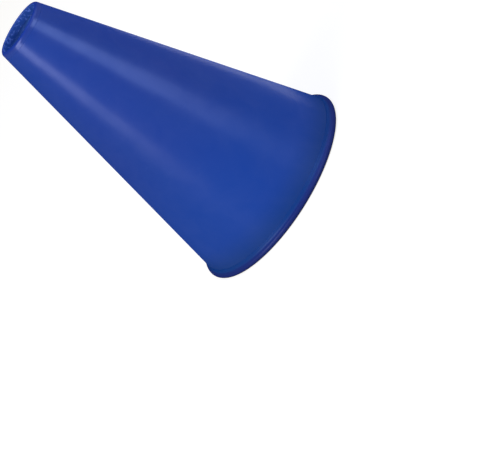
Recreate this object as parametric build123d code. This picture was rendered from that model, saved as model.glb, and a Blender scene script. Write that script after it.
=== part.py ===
from build123d import *
import math
import os

# Cheer megaphone: a straight hollow cone that stands on its wide end.
# Millimetres. +Z runs up the cone's axis from the bell to the mouth.
# The origin is on the axis, in the plane that the bell rim stands on.

# Whole object
overall_length = 200.0
mouth_outer_diameter = 39.4
bell_outer_diameter = 136.0
wall_thickness = 1.6

# Mouthpiece: a lip that carries on the cone's outside, a short straight bore, and under it a
# shoulder and a thin sleeve that sits inside the shell
lip_height = 4.0
lip_outer_round = 2.4
lip_inner_round = 0.9
mouth_bore_diameter = 33.8
bore_land_bottom = 194.5
sleeve_bottom = 189.0
sleeve_thickness = 1.9
shoulder_round = 0.3

# Bell rim: a full-round bead outside the shell, a floor under it and a lip inside it
rim_outer_diameter = 139.3
rim_height = 4.0
rim_floor = 1.0
rim_inner_lip = 1.2
rim_inner_round = 0.5

# Collar of the bell rim: the thin skirt and the hollow curve that lead from the shell to the bead
collar_top = 6.4
collar_edge = 0.35
collar_round = 2.0

# The edges that meet at the mouthpiece's parting line are broken by this much
parting_chamfer = 0.15

taper = (bell_outer_diameter - mouth_outer_diameter) / 2 / overall_length
half_angle = math.atan(taper)
radial_wall = wall_thickness / math.cos(half_angle)
shell_top = overall_length - lip_height
mouth_bore_radius = mouth_bore_diameter / 2


def outer_radius(z):
    """Radius of the cone's outside at height z."""
    return bell_outer_diameter / 2 - taper * z


def inner_radius(z):
    """Radius of the cone's inside at height z."""
    return outer_radius(z) - radial_wall


def rounded(section, corner, radius):
    """The section with its corner nearest to (radius, height) point `corner` rounded."""
    target = Vector(*corner)
    nearest = min(section.vertices(), key=lambda vertex: (Vector(*vertex) - target).length)
    return fillet(nearest, radius)


def turned(section):
    """Solid of revolution about Z from a section drawn as (radius, height)."""
    return revolve(Plane.XZ * section, Axis.Z, 360)


def make_cone_shell():
    """Conical wall, cut square to the axis at both ends."""
    outline = Polyline(
        (outer_radius(rim_floor), rim_floor),
        (outer_radius(shell_top - parting_chamfer), shell_top - parting_chamfer),
        (outer_radius(shell_top) - parting_chamfer, shell_top),
        (inner_radius(shell_top), shell_top),
        (inner_radius(rim_floor), rim_floor),
        close=True,
    )
    return turned(make_face(outline))


def make_mouthpiece():
    """Lip ring with a rounded crest, a shoulder under its bore and a sleeve inside the shell."""
    crest_outer = (outer_radius(overall_length), overall_length)
    crest_inner = (mouth_bore_radius, overall_length)
    bore_foot = (mouth_bore_radius, bore_land_bottom)
    outline = Polyline(
        (outer_radius(shell_top) - parting_chamfer, shell_top),
        (outer_radius(shell_top + parting_chamfer), shell_top + parting_chamfer),
        crest_outer,
        crest_inner,
        bore_foot,
        (inner_radius(bore_land_bottom) - sleeve_thickness, bore_land_bottom),
        (inner_radius(sleeve_bottom) - sleeve_thickness, sleeve_bottom),
        (inner_radius(sleeve_bottom), sleeve_bottom),
        (inner_radius(shell_top), shell_top),
        close=True,
    )
    section = rounded(make_face(outline), crest_outer, lip_outer_round)
    section = rounded(section, crest_inner, lip_inner_round)
    return turned(rounded(section, bore_foot, shoulder_round))


def make_bell_rim():
    """Edge trim: a bead, a channel that holds the shell, and a hollow curve between them."""
    bead_radius = rim_height / 2
    bead_centre = rim_outer_diameter / 2 - bead_radius
    inner_lip_foot = (inner_radius(0) - rim_inner_lip, 0)
    inner_lip_top = (inner_radius(rim_height) - rim_inner_lip, rim_height)
    groove_foot = (outer_radius(rim_floor), rim_floor)
    groove_foot_inner = (inner_radius(rim_floor), rim_floor)
    groove_mouth = (outer_radius(collar_top), collar_top)

    groove = make_face(
        Polyline(
            groove_foot,
            groove_mouth,
            (inner_radius(collar_top), collar_top),
            groove_foot_inner,
            close=True,
        )
    )
    channel = make_face(
        Polyline(
            inner_lip_foot,
            (bead_centre, 0),
            (outer_radius(bead_radius) + collar_edge, bead_radius),
            (outer_radius(collar_top) + collar_edge, collar_top),
            groove_mouth,
            groove_foot,
            groove_foot_inner,
            (inner_radius(rim_height), rim_height),
            inner_lip_top,
            close=True,
        )
    )
    section = channel + (Pos(bead_centre, bead_radius) * Circle(bead_radius) - groove)
    bead_meets_collar = (outer_radius(rim_height) + collar_edge, rim_height)
    section = rounded(section, bead_meets_collar, collar_round)
    section = rounded(section, inner_lip_top, rim_inner_round)
    return turned(rounded(section, inner_lip_foot, rim_inner_round))


nodes = {
    "cone_shell": make_cone_shell(),
    "mouthpiece": make_mouthpiece(),
    "bell_rim": make_bell_rim(),
}

os.makedirs("parts", exist_ok=True)
for name, solid in nodes.items():
    export_step(solid, f"parts/{name}.step")
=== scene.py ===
"""Cheer megaphone: its three moulded pieces, their plastics and the stage they stand on.

The file is laid out as an add-on and is run as a script. Lengths are in metres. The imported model
is loaded first, because the heights of every piece come from it.
"""

import math

import bmesh
import bpy
from mathutils import Euler, Matrix, Vector


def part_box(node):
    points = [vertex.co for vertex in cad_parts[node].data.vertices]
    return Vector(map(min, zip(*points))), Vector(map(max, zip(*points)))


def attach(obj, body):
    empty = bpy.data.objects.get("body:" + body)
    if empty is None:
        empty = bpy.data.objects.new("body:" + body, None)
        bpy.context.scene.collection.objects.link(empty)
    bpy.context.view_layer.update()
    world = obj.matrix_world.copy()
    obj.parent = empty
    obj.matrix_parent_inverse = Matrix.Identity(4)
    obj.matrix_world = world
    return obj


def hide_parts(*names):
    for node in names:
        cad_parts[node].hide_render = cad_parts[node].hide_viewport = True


bl_info = {
    "name": "Cheer megaphone",
    "version": (1, 0, 0),
    "blender": (4, 5, 0),
    "location": "View3D > Sidebar > Megaphone",
    "description": "Models a moulded cheer megaphone, its plastics and a soft studio round it",
    "category": "Object",
}

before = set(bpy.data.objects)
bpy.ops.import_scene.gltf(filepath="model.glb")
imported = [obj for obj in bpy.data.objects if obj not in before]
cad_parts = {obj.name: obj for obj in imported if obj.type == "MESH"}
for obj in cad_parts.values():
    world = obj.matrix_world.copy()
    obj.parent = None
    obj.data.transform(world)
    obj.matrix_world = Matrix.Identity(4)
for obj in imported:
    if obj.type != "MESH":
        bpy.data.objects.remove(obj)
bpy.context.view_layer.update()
SHELL_LOW, SHELL_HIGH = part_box("cone_shell")
MOUTH_LOW, MOUTH_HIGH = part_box("mouthpiece")
RIM_LOW, RIM_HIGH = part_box("bell_rim")

MM = 0.001

# Meshes
MERGE_DISTANCE = MM / 1000
SMOOTH_BELOW = math.radians(35)  # a sharper edge than this stays crisp
END_BAND = MM  # a short face at each end keeps the shading of the long wall even
EDGE_SEGMENTS = 3
INNER_LIP_SEGMENTS = 4
CREST_OUTER_SEGMENTS, CREST_INNER_SEGMENTS = 12, 8
BEAD_SEGMENTS, HOLLOW_SEGMENTS = 18, 8

# Patterns. A scale is in repeats per metre
FLOW_SCALE = (50, 50, 16)  # 20 mm across the flow and 60 mm along it
WAVE_SCALE = 1.6  # on the flow's own scale: 12 mm across it and 40 mm along it
SMEAR_SCALE = 65.0  # 15 mm
SMEAR_MORE, SMEAR_LESS = 1.12, 0.88  # what a smear makes of the gloss
MOTTLE_SCALE = 430.0  # 2 mm
# How strongly the bore is spotted with painted glints
PAINTED_GLINT_STRENGTH = 0.6
PEEL_SCALE = 900.0  # 1 mm
RUB_SCALE = 130.0  # 8 mm long
RUB_STRETCH = (1, 1, 14)  # and 0.5 mm wide
RUB_STRENGTH = 0.05

# Plastics
COAT_IOR = 1.49  # polypropylene
BODY_ROUGHNESS = 0.6
SOAK_STARTS, SOAK_FULL = 2.0 * MM, 2.8 * MM  # depths inside the cone's outer face

# Stage
FLOOR_RADIUS = 6.0
FLOOR_DROP = 0.05 * MM  # keeps the floor clear of the face that stands on it
FLOOR_DARK_TO, FLOOR_WHITE_FROM = 6 * MM, 3 * MM  # depths inside the rim's outer edge
SURROUND_LIGHT = 0.27  # share of the white surround that lights the object
PANEL_CLEARANCE = 2 * MM
SENSOR_WIDTH = 36.0  # millimetres
VIEW_NEAR, VIEW_FAR = 0.05, 50.0


# ---------------------------------------------------------------- settings


class MegaphoneSizes(bpy.types.PropertyGroup):
    """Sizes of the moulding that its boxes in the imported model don't give."""

    mouth_diameter: bpy.props.FloatProperty(
        name="Mouth diameter", description="Outside of the cone in the plane of the lip's crest",
        default=39.4 * MM, subtype="DISTANCE", unit="LENGTH")
    bell_diameter: bpy.props.FloatProperty(
        name="Bell diameter", description="Outside of the cone in the plane it stands on",
        default=136 * MM, subtype="DISTANCE", unit="LENGTH")
    wall: bpy.props.FloatProperty(
        name="Wall", description="Thickness of the cone's wall, square to its surface",
        default=1.6 * MM, subtype="DISTANCE", unit="LENGTH")
    bore_diameter: bpy.props.FloatProperty(
        name="Mouth bore", description="Inside of the mouthpiece at its narrowest",
        default=33.8 * MM, subtype="DISTANCE", unit="LENGTH")
    bore_land: bpy.props.FloatProperty(
        name="Bore land", description="Depth from the crest to the foot of the straight bore",
        default=5.5 * MM, subtype="DISTANCE", unit="LENGTH")
    crest_outer_round: bpy.props.FloatProperty(
        name="Crest outer round", description="Radius of the lip where it turns over outside",
        default=2.4 * MM, subtype="DISTANCE", unit="LENGTH")
    crest_inner_round: bpy.props.FloatProperty(
        name="Crest inner round", description="Radius of the lip where it turns into the bore",
        default=0.9 * MM, subtype="DISTANCE", unit="LENGTH")
    sleeve: bpy.props.FloatProperty(
        name="Sleeve", description="Thickness of the mouthpiece's sleeve inside the shell",
        default=1.9 * MM, subtype="DISTANCE", unit="LENGTH")
    rim_height: bpy.props.FloatProperty(
        name="Rim height", description="Height of the bead round the bell",
        default=4 * MM, subtype="DISTANCE", unit="LENGTH")
    rim_inner_lip: bpy.props.FloatProperty(
        name="Rim inner lip", description="Thickness of the rim inside the shell",
        default=1.2 * MM, subtype="DISTANCE", unit="LENGTH")
    collar_round: bpy.props.FloatProperty(
        name="Collar round", description="Radius of the hollow curve from the shell to the bead",
        default=2 * MM, subtype="DISTANCE", unit="LENGTH")
    collar_edge: bpy.props.FloatProperty(
        name="Collar edge", description="Thickness of the collar's upper edge",
        default=0.35 * MM, subtype="DISTANCE", unit="LENGTH")
    edge_break: bpy.props.FloatProperty(
        name="Edge break", description="Radius on the small moulded edges",
        default=0.2 * MM, subtype="DISTANCE", unit="LENGTH")
    joint_break: bpy.props.FloatProperty(
        name="Joint break", description="Radius on the two edges that meet at the parting line",
        default=0.12 * MM, subtype="DISTANCE", unit="LENGTH")
    turning_steps: bpy.props.IntProperty(
        name="Turning steps", description="Faces round the axis",
        default=256, min=32)


class MegaphoneColours(bpy.types.PropertyGroup):
    """sRGB colours of the plastics, as hex words."""

    shell: bpy.props.StringProperty(
        name="Shell", description="Royal-blue plastic of the cone", default="#0B3580")
    shell_cool: bpy.props.StringProperty(
        name="Shell, cool", description="The same plastic where its pigment is greener",
        default="#073B81")
    shell_wide: bpy.props.StringProperty(
        name="Shell, wide end", description="The same, where the cone is widest",
        default="#063F88")
    # Painted shade: the shell is drawn darker towards the bell, where shade falls near the rim
    shell_painted_shade: bpy.props.StringProperty(
        name="Shell, thick", description="The same plastic where the wall thickens to the rim",
        default="#0A396B")
    # Lip is painted shade: the crest's top is drawn darker against the light it catches
    lip: bpy.props.StringProperty(
        name="Lip", description="The same plastic round the mouth's crest", default="#042F78")
    # Bore and the bore under the shoulder are painted light: paler blue for light through the thin
    # lip, palest against the shoulder's shade
    bore: bpy.props.StringProperty(
        name="Bore", description="The same plastic inside the mouth, where light soaks through",
        default="#294C8A")
    bore_shoulder_painted_light: bpy.props.StringProperty(
        name="Bore, deep", description="The same, under the bore's shoulder", default="#4A75BB")
    rim: bpy.props.StringProperty(
        name="Rim", description="Navy plastic of the edge trim", default="#15265F")
    # Rub marks: real wear on the hairlines, and the colour of the painted glints in the bore
    rub_and_painted_glint: bpy.props.StringProperty(
        name="Rub marks", description="Plastic whitened by rubbing", default="#7894D8")
    floor: bpy.props.StringProperty(
        name="Floor", description="Pale studio floor", default="#9C9C9E")
    floor_glow: bpy.props.StringProperty(
        name="Floor glow", description="What lifts the floor to white, warm against the cool lamps",
        default="#E9E6DA")
    violet_light: bpy.props.StringProperty(
        name="Violet light", description="Light of the strip softbox", default="#C7D1FF")
    azure_light: bpy.props.StringProperty(
        name="Azure light", description="Light of the wide and high softboxes", default="#A6BFFF")
    pale_light: bpy.props.StringProperty(
        name="Pale light", description="Light of the floor panel", default="#E4E9FF")


class MegaphoneStage(bpy.types.PropertyGroup):
    """Camera and lamps."""

    lens: bpy.props.FloatProperty(
        name="Lens", description="Focal length on a 36 mm wide sensor, in millimetres",
        default=144.0)
    camera_place: bpy.props.FloatVectorProperty(
        name="Camera place", description="Where the camera stands",
        default=(0.0, -1.2369, 0.4692), subtype="TRANSLATION", unit="LENGTH")
    camera_aim: bpy.props.FloatVectorProperty(
        name="Camera aim", description="Point at the middle of the picture",
        default=(-0.03213, -0.03563, 0.00919), subtype="TRANSLATION", unit="LENGTH")
    camera_roll: bpy.props.FloatProperty(
        name="Camera roll", description="How far the camera is turned about its line of sight",
        default=math.radians(58.376), subtype="ANGLE", unit="ROTATION")


# ---------------------------------------------------------------- shapes


class Cone:
    """The radii of the cone's two faces at a height above its standing plane."""

    def __init__(self, sizes):
        self.top = MOUTH_HIGH.z
        self.foot_radius = sizes.bell_diameter / 2
        self.taper = (sizes.bell_diameter - sizes.mouth_diameter) / 2 / self.top
        self.half_angle = math.atan(self.taper)
        self.radial_wall = sizes.wall / math.cos(self.half_angle)

    def outer(self, height):
        return self.foot_radius - self.taper * height

    def inner(self, height):
        return self.outer(height) - self.radial_wall


def arc(centre, radius, start, end, segments):
    """Points along an arc in a section, from one angle to another."""
    turns = [start + (end - start) * i / segments for i in range(segments + 1)]
    return [(centre[0] + radius * math.cos(t), centre[1] + radius * math.sin(t)) for t in turns]


def trace_section(name, corners):
    """Draws a closed section in the XZ plane, corner by corner, and leaves it in edit mode."""
    bpy.ops.object.select_all(action="DESELECT")
    bpy.ops.mesh.primitive_plane_add(size=MM, location=(corners[0][0], 0, corners[0][1]))
    piece = bpy.context.active_object
    piece.name = piece.data.name = name
    bpy.ops.object.transform_apply(location=True, rotation=True, scale=True)
    bpy.ops.object.mode_set(mode="EDIT")
    bpy.ops.mesh.select_mode(type="VERT")
    bpy.ops.mesh.select_all(action="SELECT")
    bpy.ops.mesh.merge(type="CENTER")
    for (radius, height), (next_radius, next_height) in zip(corners, corners[1:]):
        step = (next_radius - radius, 0, next_height - height)
        bpy.ops.mesh.extrude_vertices_move(TRANSFORM_OT_translate={"value": step})
    bpy.ops.mesh.select_all(action="SELECT")
    bpy.ops.mesh.edge_face_add()
    return piece


def round_corner(piece, corner, radius, segments=EDGE_SEGMENTS):
    """Rounds the section's corner nearest to a (radius, height) point."""
    bpy.ops.mesh.select_all(action="DESELECT")
    work = bmesh.from_edit_mesh(piece.data)
    target = Vector((corner[0], 0, corner[1]))
    nearest = min(work.verts, key=lambda vert: (vert.co - target).length)
    arms = [(edge.other_vert(nearest).co - nearest.co) for edge in nearest.link_edges]
    reach = radius / math.tan(arms[0].angle(arms[1]) / 2)
    nearest.select = True
    work.select_flush(True)
    bmesh.update_edit_mesh(piece.data)
    bpy.ops.mesh.bevel(offset=reach, segments=segments, affect="VERTICES")


def turn_section(piece, steps):
    """Spins the section round the axis into a closed, smooth moulding."""
    bpy.ops.mesh.select_all(action="SELECT")
    bpy.ops.mesh.delete(type="ONLY_FACE")
    bpy.ops.mesh.select_all(action="SELECT")
    bpy.ops.mesh.spin(steps=steps, angle=math.tau, center=(0, 0, 0), axis=(0, 0, 1))
    bpy.ops.mesh.select_all(action="SELECT")
    bpy.ops.mesh.remove_doubles(threshold=MERGE_DISTANCE)
    bpy.ops.mesh.normals_make_consistent(inside=False)
    bpy.ops.object.mode_set(mode="OBJECT")
    bpy.ops.object.shade_smooth_by_angle(angle=SMOOTH_BELOW)


def finish_piece(piece, material, node):
    """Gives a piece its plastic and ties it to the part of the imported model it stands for."""
    piece.data.materials.clear()
    piece.data.materials.append(material)
    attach(piece, "root")
    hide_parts(node)


# ---------------------------------------------------------------- materials


def to_linear(hex_word):
    """Linear RGBA from an sRGB hex word."""
    channels = [int(hex_word[i:i + 2], 16) / 255 for i in (1, 3, 5)]
    return (*(c / 12.92 if c <= 0.04045 else ((c + 0.055) / 1.055) ** 2.4 for c in channels), 1.0)


def add_node(tree, kind, settings=None, inputs=None):
    """Adds a node, sets its properties, and sets or links its inputs."""
    node = tree.nodes.new(kind)
    for key, value in (settings or {}).items():
        setattr(node, key, value)
    for key, value in (inputs or {}).items():
        if isinstance(value, bpy.types.NodeSocket):
            tree.links.new(value, node.inputs[key])
        else:
            node.inputs[key].default_value = value
    return node


def new_material(name):
    """A new material and its emptied node tree."""
    material = bpy.data.materials.new(name)
    material.use_nodes = True
    material.node_tree.nodes.clear()
    return material, material.node_tree


def seen_or_mirrored(tree):
    """1 for what the camera sees, also in a reflection or through glass, and 0 for other light."""
    rays = add_node(tree, "ShaderNodeLightPath")
    seen = add_node(tree, "ShaderNodeMath", {"operation": "MAXIMUM"}, {
        0: rays.outputs["Is Camera Ray"], 1: rays.outputs["Is Glossy Ray"]})
    return add_node(tree, "ShaderNodeMath", {"operation": "MAXIMUM"}, {
        0: seen.outputs[0], 1: rays.outputs["Is Transmission Ray"]}).outputs[0]


def moulded_plastic(name, colours, roughness, gloss, fades=(), bore=None):
    """Glossy injection-moulded plastic: tool-polish gloss, broken by flow waves and handling.

    The gloss is a coat over a matt body, so that its strength is set apart from the colour.
    Each fade is (height where it is full, height where it ends, colour, share of the gloss that
    is left). The bore is (cone, height of the bore's shoulder), on the piece that has one; inside
    it the colour is painted light with painted glints.
    """
    material, tree = new_material(name)
    place = add_node(tree, "ShaderNodeTexCoord").outputs["Object"]
    height = add_node(tree, "ShaderNodeSeparateXYZ", inputs={0: place}).outputs["Z"]
    flow_place = add_node(tree, "ShaderNodeMapping", inputs={
        "Vector": place, "Scale": FLOW_SCALE}).outputs["Vector"]

    # Pigment drifts in patches along the flow from the gate
    drift = add_node(tree, "ShaderNodeTexNoise", inputs={
        "Vector": flow_place, "Scale": 1.0, "Detail": 2.0, "Roughness": 0.4})
    colour = add_node(tree, "ShaderNodeMix", {"data_type": "RGBA"}, {
        "Factor": drift.outputs["Fac"], "A": to_linear(colours.shell),
        "B": to_linear(colours.shell_cool)}).outputs["Result"]

    # Fingers leave smears that dull the gloss
    smear = add_node(tree, "ShaderNodeTexNoise", inputs={
        "Vector": place, "Scale": SMEAR_SCALE, "Detail": 4.0, "Roughness": 0.55,
        "Distortion": 0.6})
    shine = add_node(tree, "ShaderNodeMapRange", inputs={
        "Value": smear.outputs["Fac"], "From Min": 0.3, "From Max": 0.7,
        "To Min": gloss * SMEAR_MORE, "To Max": gloss * SMEAR_LESS}).outputs["Result"]

    colour, shine = fade_ends(tree, height, colour, shine, fades)
    # Inside the mouth: painted light and painted glints on the colour, and dents in the relief
    if bore:
        colour, dents = paint_bore_light(tree, place, height, colour, colours, *bore)
    colour = rub_hairlines(tree, place, colour, to_linear(colours.rub_and_painted_glint))

    # Cooling leaves flow waves 0.25 mm deep, and the tool a peel that is 10 microns deep
    wave = add_node(tree, "ShaderNodeTexNoise", inputs={
        "Vector": flow_place, "Scale": WAVE_SCALE, "Detail": 1.0})
    peel = add_node(tree, "ShaderNodeTexNoise", inputs={
        "Vector": place, "Scale": PEEL_SCALE, "Detail": 2.0})
    waves = add_node(tree, "ShaderNodeBump", inputs={
        "Strength": 0.5, "Distance": 0.25 * MM, "Height": wave.outputs["Fac"]})
    relief = add_node(tree, "ShaderNodeBump", inputs={
        "Strength": 0.25, "Distance": 0.01 * MM, "Height": peel.outputs["Fac"],
        "Normal": waves.outputs["Normal"]})

    # The tool dents the bore by 0.2 mm, so that it glints where it catches light
    if bore:
        relief = add_node(tree, "ShaderNodeBump", inputs={
            "Strength": 1.0, "Distance": 0.2 * MM, "Height": dents,
            "Normal": relief.outputs["Normal"]})

    # The gloss is even to the very edge: the coat's Fresnel rise is divided out of its weight
    normal = relief.outputs["Normal"]
    rise = add_node(tree, "ShaderNodeFresnel", inputs={"IOR": COAT_IOR, "Normal": normal})
    even = add_node(tree, "ShaderNodeMath", {"operation": "DIVIDE"}, {
        0: ((COAT_IOR - 1) / (COAT_IOR + 1)) ** 2, 1: rise.outputs["Fac"]})
    weight = add_node(tree, "ShaderNodeMath", {"operation": "MULTIPLY"}, {
        0: shine, 1: even.outputs[0]})
    shader = add_node(tree, "ShaderNodeBsdfPrincipled", inputs={
        "Base Color": colour, "Roughness": BODY_ROUGHNESS, "Specular IOR Level": 0.0,
        "Normal": normal, "Coat Weight": weight.outputs[0], "Coat Roughness": roughness,
        "Coat IOR": COAT_IOR, "Coat Normal": normal})
    add_node(tree, "ShaderNodeOutputMaterial", inputs={"Surface": shader.outputs["BSDF"]})
    return material


def fade_ends(tree, height, colour, shine, fades):
    """Towards the ends the colour turns greener or darker, and handling has worn the polish. The
    darker colours, near the bell and round the crest, are painted shade.
    """
    for full, none, fade_colour, gloss_left in fades:
        depth = add_node(tree, "ShaderNodeMapRange", {"interpolation_type": "SMOOTHSTEP"}, {
            "Value": height, "From Min": full, "From Max": none,
            "To Min": 1.0, "To Max": 0.0}).outputs["Result"]
        colour = add_node(tree, "ShaderNodeMix", {"data_type": "RGBA"}, {
            "Factor": depth, "A": colour, "B": to_linear(fade_colour)}).outputs["Result"]
        worn = add_node(tree, "ShaderNodeMath", {"operation": "MULTIPLY_ADD"}, {
            0: depth, 1: gloss_left - 1, 2: 1.0})
        shine = add_node(tree, "ShaderNodeMath", {"operation": "MULTIPLY"}, {
            0: shine, 1: worn.outputs[0]}).outputs[0]
    return colour, shine


def paint_bore_light(tree, place, height, colour, colours, cone, shoulder):
    """Inside the thin lip the colour is painted paler and mottled: painted light for the light that
    soaks through the lip, with painted glints.

    It is palest under the shoulder, a painted light against the shade there. The pattern of the
    dents comes back with the colour.
    """
    flat_place = add_node(tree, "ShaderNodeVectorMath", {"operation": "MULTIPLY"}, {
        0: place, 1: (1, 1, 0)})
    radius = add_node(tree, "ShaderNodeVectorMath", {"operation": "LENGTH"}, {
        0: flat_place.outputs["Vector"]})
    lean = add_node(tree, "ShaderNodeMath", {"operation": "MULTIPLY_ADD"}, {
        0: height, 1: cone.taper, 2: radius.outputs["Value"]})
    soak = add_node(tree, "ShaderNodeMapRange", {"interpolation_type": "SMOOTHSTEP"}, {
        "Value": lean.outputs[0], "From Min": cone.foot_radius - SOAK_FULL,
        "From Max": cone.foot_radius - SOAK_STARTS,
        "To Min": 1.0, "To Max": 0.0}).outputs["Result"]
    under = add_node(tree, "ShaderNodeMapRange", {"interpolation_type": "SMOOTHSTEP"}, {
        "Value": height, "From Min": shoulder - MM, "From Max": shoulder + MM,
        "To Min": 1.0, "To Max": 0.0})
    # Painted light: paler blue inside the lip, palest under the shoulder
    painted_bore_light = add_node(tree, "ShaderNodeMix", {"data_type": "RGBA"}, {
        "Factor": under.outputs["Result"], "A": to_linear(colours.bore),
        "B": to_linear(colours.bore_shoulder_painted_light)})
    mottle = add_node(tree, "ShaderNodeTexNoise", inputs={
        "Vector": place, "Scale": MOTTLE_SCALE, "Detail": 3.0, "Roughness": 0.6,
        "Distortion": 0.5})
    # Painted glints: pale spots where the mottle is highest
    painted_glints = add_node(tree, "ShaderNodeMapRange", inputs={
        "Value": mottle.outputs["Fac"], "From Min": 0.52, "From Max": 0.66,
        "To Min": 0.0, "To Max": PAINTED_GLINT_STRENGTH})
    with_painted_glints = add_node(tree, "ShaderNodeMix", {"data_type": "RGBA"}, {
        "Factor": painted_glints.outputs["Result"], "A": painted_bore_light.outputs["Result"],
        "B": to_linear(colours.rub_and_painted_glint)})
    colour = add_node(tree, "ShaderNodeMix", {"data_type": "RGBA"}, {
        "Factor": soak, "A": colour, "B": with_painted_glints.outputs["Result"]})
    dents = add_node(tree, "ShaderNodeMath", {"operation": "MULTIPLY"}, {
        0: mottle.outputs["Fac"], 1: soak})
    return colour.outputs["Result"], dents.outputs[0]


def rub_hairlines(tree, place, colour, rub_and_painted_glint):
    """Whitened hairlines run round the cone, drawn wider than real ones so that they show."""
    hair_place = add_node(tree, "ShaderNodeMapping", inputs={
        "Vector": place, "Scale": RUB_STRETCH})
    hair = add_node(tree, "ShaderNodeTexNoise", inputs={
        "Vector": hair_place.outputs["Vector"], "Scale": RUB_SCALE, "Detail": 3.0,
        "Roughness": 0.6})
    mask = add_node(tree, "ShaderNodeMapRange", inputs={
        "Value": hair.outputs["Fac"], "From Min": 0.66, "From Max": 0.80,
        "To Min": 0.0, "To Max": RUB_STRENGTH})
    return add_node(tree, "ShaderNodeMix", {"data_type": "RGBA"}, {
        "Factor": mask.outputs["Result"], "A": colour, "B": rub_and_painted_glint}).outputs["Result"]


def shell_fades(colours):
    """The shell's change of colour and gloss towards its wide end, which the rim carries on. Its
    darker colour near the bell is painted shade.
    """
    return [
        (35 * MM, 110 * MM, colours.shell_wide, 0.8),
        # Painted shade: darker towards the bell
        (-2 * MM, 26 * MM, colours.shell_painted_shade, 0.75)]


def studio_floor(colours):
    """Pale painted board. Seen or mirrored it reads white, and it still takes a shadow."""
    material, tree = new_material("painted_studio_floor")
    board = add_node(tree, "ShaderNodeBsdfDiffuse", inputs={"Color": to_linear(colours.floor)})

    # The floor that the cone covers stays dark, as it is seen through the mouth
    place = add_node(tree, "ShaderNodeTexCoord").outputs["Object"]
    radius = add_node(tree, "ShaderNodeVectorMath", {"operation": "LENGTH"}, {0: place})
    clear = add_node(tree, "ShaderNodeMapRange", inputs={
        "Value": radius.outputs["Value"], "From Min": RIM_HIGH.x - FLOOR_DARK_TO,
        "From Max": RIM_HIGH.x - FLOOR_WHITE_FROM, "To Min": 0.0, "To Max": 1.0})
    lift = add_node(tree, "ShaderNodeMath", {"operation": "MULTIPLY"}, {
        0: seen_or_mirrored(tree), 1: clear.outputs["Result"]})
    glow = add_node(tree, "ShaderNodeEmission", inputs={
        "Color": to_linear(colours.floor_glow), "Strength": lift.outputs[0]})
    both = add_node(tree, "ShaderNodeAddShader", inputs={0: board.outputs[0], 1: glow.outputs[0]})
    add_node(tree, "ShaderNodeOutputMaterial", inputs={"Surface": both.outputs[0]})
    return material


# ---------------------------------------------------------------- operators


class MEGAPHONE_OT_shell(bpy.types.Operator):
    """Conical wall of the megaphone"""

    bl_idname = "megaphone.shell"
    bl_label = "Cone shell"

    def execute(self, context):
        scene = context.scene
        sizes, colours = scene.megaphone_sizes, scene.megaphone_colours
        cone = Cone(sizes)
        low, high = SHELL_LOW.z, SHELL_HIGH.z
        foot_outer, foot_inner = (cone.outer(low), low), (cone.inner(low), low)
        top_outer, top_inner = (cone.outer(high), high), (cone.inner(high), high)
        near_foot, near_top = low + END_BAND, high - END_BAND
        piece = trace_section("cone_shell_moulding", [
            foot_outer, (cone.outer(near_foot), near_foot), (cone.outer(near_top), near_top),
            top_outer, top_inner,
            (cone.inner(near_top), near_top), (cone.inner(near_foot), near_foot), foot_inner])
        round_corner(piece, foot_outer, sizes.edge_break)
        round_corner(piece, top_outer, sizes.joint_break)
        round_corner(piece, top_inner, sizes.edge_break)
        round_corner(piece, foot_inner, sizes.edge_break)
        turn_section(piece, sizes.turning_steps)
        material = moulded_plastic(
            "moulded_royal_blue_polypropylene", colours, roughness=0.28, gloss=0.64,
            fades=shell_fades(colours))
        finish_piece(piece, material, "cone_shell")
        return {"FINISHED"}


class MEGAPHONE_OT_mouthpiece(bpy.types.Operator):
    """Lip ring with its rounded crest, and the sleeve that holds it in the shell"""

    bl_idname = "megaphone.mouthpiece"
    bl_label = "Mouthpiece"

    def execute(self, context):
        scene = context.scene
        sizes, colours = scene.megaphone_sizes, scene.megaphone_colours
        cone = Cone(sizes)
        shell_top = SHELL_HIGH.z
        crest, sleeve_foot = MOUTH_HIGH.z, MOUTH_LOW.z
        bore = sizes.bore_diameter / 2
        joint_edge = (cone.outer(shell_top), shell_top)
        crest_outer = (cone.outer(crest), crest)
        crest_inner = (bore, crest)
        shoulder = crest - sizes.bore_land
        bore_foot = (bore, shoulder)
        lip_low, lip_high = shell_top + sizes.edge_break, shell_top + 2 * MM
        piece = trace_section("mouthpiece_lip", [
            joint_edge, (cone.outer(lip_low), lip_low), (cone.outer(lip_high), lip_high),
            crest_outer, crest_inner, bore_foot,
            (cone.inner(shoulder) - sizes.sleeve, shoulder),
            (cone.inner(sleeve_foot) - sizes.sleeve, sleeve_foot),
            (cone.inner(sleeve_foot), sleeve_foot),
            (cone.inner(shell_top), shell_top)])
        round_corner(piece, joint_edge, sizes.joint_break)
        round_corner(piece, crest_outer, sizes.crest_outer_round, CREST_OUTER_SEGMENTS)
        round_corner(piece, crest_inner, sizes.crest_inner_round, CREST_INNER_SEGMENTS)
        round_corner(piece, bore_foot, sizes.edge_break)
        turn_section(piece, sizes.turning_steps)
        material = moulded_plastic(
            "lip_polished_royal_blue_polypropylene", colours, roughness=0.23, gloss=0.76,
            # The lip colour round the crest is painted shade
            fades=[
                (crest - 0.2 * MM, crest - 4 * MM, colours.lip, 1.0),
                (crest - 0.2 * MM, crest - 1.4 * MM, colours.lip, 0.45)],
            bore=(cone, shoulder))
        finish_piece(piece, material, "mouthpiece")
        return {"FINISHED"}


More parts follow.
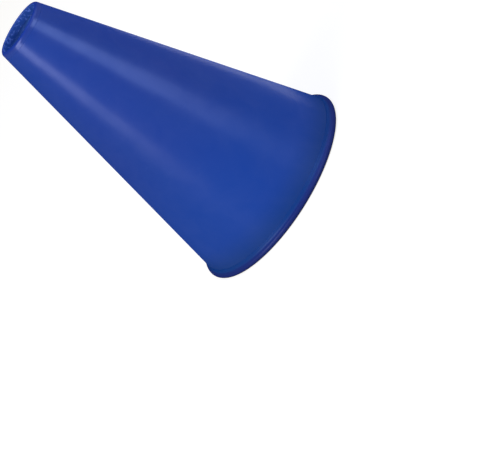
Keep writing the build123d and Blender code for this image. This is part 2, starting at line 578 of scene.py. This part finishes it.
class MEGAPHONE_OT_bell_rim(bpy.types.Operator):
    """Edge trim round the bell: bead, hollow collar and the groove that holds the shell"""

    bl_idname = "megaphone.bell_rim"
    bl_label = "Bell rim"

    def execute(self, context):
        scene = context.scene
        sizes, colours = scene.megaphone_sizes, scene.megaphone_colours
        cone = Cone(sizes)
        floor_top, bead_top = SHELL_LOW.z, sizes.rim_height
        collar_top = RIM_HIGH.z
        bead = sizes.rim_height / 2
        bead_centre = (RIM_HIGH.x - bead, bead)
        hollow, lean = sizes.collar_round, cone.half_angle

        # The hollow curve touches both the collar's face and the bead: its centre is where a line
        # that far outside the collar crosses a circle round the bead
        reach = (cone.outer(0) + sizes.collar_edge + hollow / math.cos(lean) - bead_centre[0])
        a, b = 1 + cone.taper ** 2, reach * cone.taper + bead
        c = reach ** 2 + bead ** 2 - (bead + hollow) ** 2
        rise = (b + math.sqrt(b ** 2 - a * c)) / a
        hollow_centre = (bead_centre[0] + reach - cone.taper * rise, rise)
        meet = math.atan2(hollow_centre[1] - bead, hollow_centre[0] - bead_centre[0])

        lip_foot = (cone.inner(0) - sizes.rim_inner_lip, 0)
        lip_top = (cone.inner(bead_top) - sizes.rim_inner_lip, bead_top)
        collar_edge = (cone.outer(collar_top) + sizes.collar_edge, collar_top)
        piece = trace_section("bell_rim_trim", [
            lip_foot,
            *arc(bead_centre, bead, -math.pi / 2, meet, BEAD_SEGMENTS),
            *arc(hollow_centre, hollow, meet - math.pi, lean - math.pi, HOLLOW_SEGMENTS)[1:],
            collar_edge,
            (cone.outer(collar_top), collar_top),
            (cone.outer(floor_top), floor_top),
            (cone.inner(floor_top), floor_top),
            (cone.inner(bead_top), bead_top),
            lip_top])
        round_corner(piece, collar_edge, sizes.edge_break / 2)
        round_corner(piece, lip_foot, 2 * sizes.edge_break, INNER_LIP_SEGMENTS)
        round_corner(piece, lip_top, 2 * sizes.edge_break, INNER_LIP_SEGMENTS)
        turn_section(piece, sizes.turning_steps)
        material = moulded_plastic(
            "moulded_navy_trim_polypropylene", colours, roughness=0.38, gloss=0.50,
            fades=[*shell_fades(colours), (3.4 * MM, 5.2 * MM, colours.rim, 1.0)])
        finish_piece(piece, material, "bell_rim")
        return {"FINISHED"}


class MEGAPHONE_OT_stage(bpy.types.Operator):
    """Pale floor, white surround, soft lamps and the camera"""

    bl_idname = "megaphone.stage"
    bl_label = "Stage"

    def execute(self, context):
        scene = context.scene
        stage = scene.megaphone_stage
        self.lay_floor(scene)
        self.light_surround(scene)
        self.hang_lamps(scene.megaphone_colours)
        self.place_camera(scene, stage)
        scene.view_settings.view_transform = "Standard"
        return {"FINISHED"}

    def lay_floor(self, scene):
        bpy.ops.object.select_all(action="DESELECT")
        bpy.ops.mesh.primitive_circle_add(
            vertices=96, radius=FLOOR_RADIUS, fill_type="NGON",
            location=(0, 0, RIM_LOW.z - FLOOR_DROP))
        floor = bpy.context.active_object
        floor.name = floor.data.name = "studio_floor"
        bpy.ops.object.transform_apply(location=True, rotation=True, scale=True)
        floor.data.materials.append(studio_floor(scene.megaphone_colours))

    def light_surround(self, scene):
        world = bpy.data.worlds.new("white_surround")
        world.use_nodes = True
        scene.world = world
        tree = world.node_tree
        tree.nodes.clear()
        level = add_node(tree, "ShaderNodeMapRange", inputs={
            "Value": seen_or_mirrored(tree), "To Min": SURROUND_LIGHT, "To Max": 1.0})
        glow = add_node(tree, "ShaderNodeBackground", inputs={
            "Color": (1, 1, 1, 1), "Strength": level.outputs["Result"]})
        add_node(tree, "ShaderNodeOutputWorld", inputs={"Surface": glow.outputs[0]})

    def hang_lamps(self, colours):
        self.hang_softbox(
            "wide_softbox", azimuth=-45, elevation=21, distance=1.3,
            width=0.68, height=0.60, watts=8.7, tint=colours.azure_light)
        self.hang_softbox(
            "strip_softbox", azimuth=-146, elevation=36, distance=1.3,
            width=0.58, height=1.2, watts=18.6, tint=colours.violet_light)
        self.hang_softbox(
            "high_softbox", azimuth=15, elevation=60, distance=1.4,
            width=1.40, height=1.40, watts=12.8, tint=colours.azure_light)

        self.lay_panel(
            "floor_panel", bearing=64, distance=0.50,
            width=0.76, height=0.28, watts=3.9, tint=colours.pale_light)

    def hang_softbox(self, name, azimuth, elevation, distance, width, height, watts, tint):
        """Aims a lamp at the megaphone's middle. Azimuth is in degrees round the axis from +X."""
        a, e = math.radians(azimuth), math.radians(elevation)
        away = Vector((math.cos(a) * math.cos(e), math.sin(a) * math.cos(e), math.sin(e)))
        middle = Vector((0, 0, (MOUTH_HIGH.z + RIM_LOW.z) / 2))
        turn = away.to_track_quat("Z", "Y").to_euler()
        self.hang_lamp(name, middle + away * distance, turn, width, height, watts, tint)

    def lay_panel(self, name, bearing, distance, width, height, watts, tint):
        """Lays a lamp on the floor, face up, where the cone's edge near the bell picks it up."""
        bearing = math.radians(bearing)
        place = Vector((math.cos(bearing), math.sin(bearing), 0)) * distance
        place.z = RIM_LOW.z + PANEL_CLEARANCE
        turn = Euler((math.pi, 0, bearing))
        self.hang_lamp(name, place, turn, width, height, watts, tint)

    def hang_lamp(self, name, place, turn, width, height, watts, tint):
        bpy.ops.object.light_add(type="AREA", location=place)
        lamp = bpy.context.active_object
        lamp.name = lamp.data.name = name
        lamp.data.shape = "RECTANGLE"
        lamp.data.size, lamp.data.size_y = width, height
        lamp.data.energy = watts
        lamp.data.color = to_linear(tint)[:3]
        lamp.rotation_euler = turn

    def place_camera(self, scene, stage):
        place, aim = Vector(stage.camera_place), Vector(stage.camera_aim)
        bpy.ops.object.camera_add(location=place)
        camera = bpy.context.active_object
        camera.name = camera.data.name = "studio_camera"
        camera.data.sensor_width = SENSOR_WIDTH
        camera.data.lens = stage.lens
        look = (aim - place).to_track_quat("-Z", "Y").to_matrix()
        roll = Matrix.Rotation(-stage.camera_roll, 3, "Z")
        camera.rotation_euler = (look @ roll).to_euler()
        camera.data.clip_start, camera.data.clip_end = VIEW_NEAR, VIEW_FAR
        scene.camera = camera


class MEGAPHONE_PT_panel(bpy.types.Panel):
    """Sizes, colours and the operators that build the megaphone"""

    bl_idname = "MEGAPHONE_PT_panel"
    bl_label = "Megaphone"
    bl_space_type = "VIEW_3D"
    bl_region_type = "UI"
    bl_category = "Megaphone"

    def draw(self, context):
        layout = self.layout
        for name in SETTINGS:
            group = getattr(context.scene, name)
            box = layout.box()
            for prop in group.bl_rna.properties:
                if prop.identifier not in ("rna_type", "name"):
                    box.prop(group, prop.identifier)
        for operator in OPERATORS:
            layout.operator(operator.bl_idname)


OPERATORS = (MEGAPHONE_OT_shell, MEGAPHONE_OT_mouthpiece, MEGAPHONE_OT_bell_rim, MEGAPHONE_OT_stage)
SETTINGS = {
    "megaphone_sizes": MegaphoneSizes,
    "megaphone_colours": MegaphoneColours,
    "megaphone_stage": MegaphoneStage,
}
CLASSES = (*SETTINGS.values(), *OPERATORS, MEGAPHONE_PT_panel)


def register():
    for cls in CLASSES:
        bpy.utils.register_class(cls)
    for name, group in SETTINGS.items():
        setattr(bpy.types.Scene, name, bpy.props.PointerProperty(type=group))


def unregister():
    for name in SETTINGS:
        delattr(bpy.types.Scene, name)
    for cls in reversed(CLASSES):
        bpy.utils.unregister_class(cls)


def main():
    register()
    bpy.ops.megaphone.shell()
    bpy.ops.megaphone.mouthpiece()
    bpy.ops.megaphone.bell_rim()
    bpy.ops.megaphone.stage()


if __name__ == "__main__":
    main()
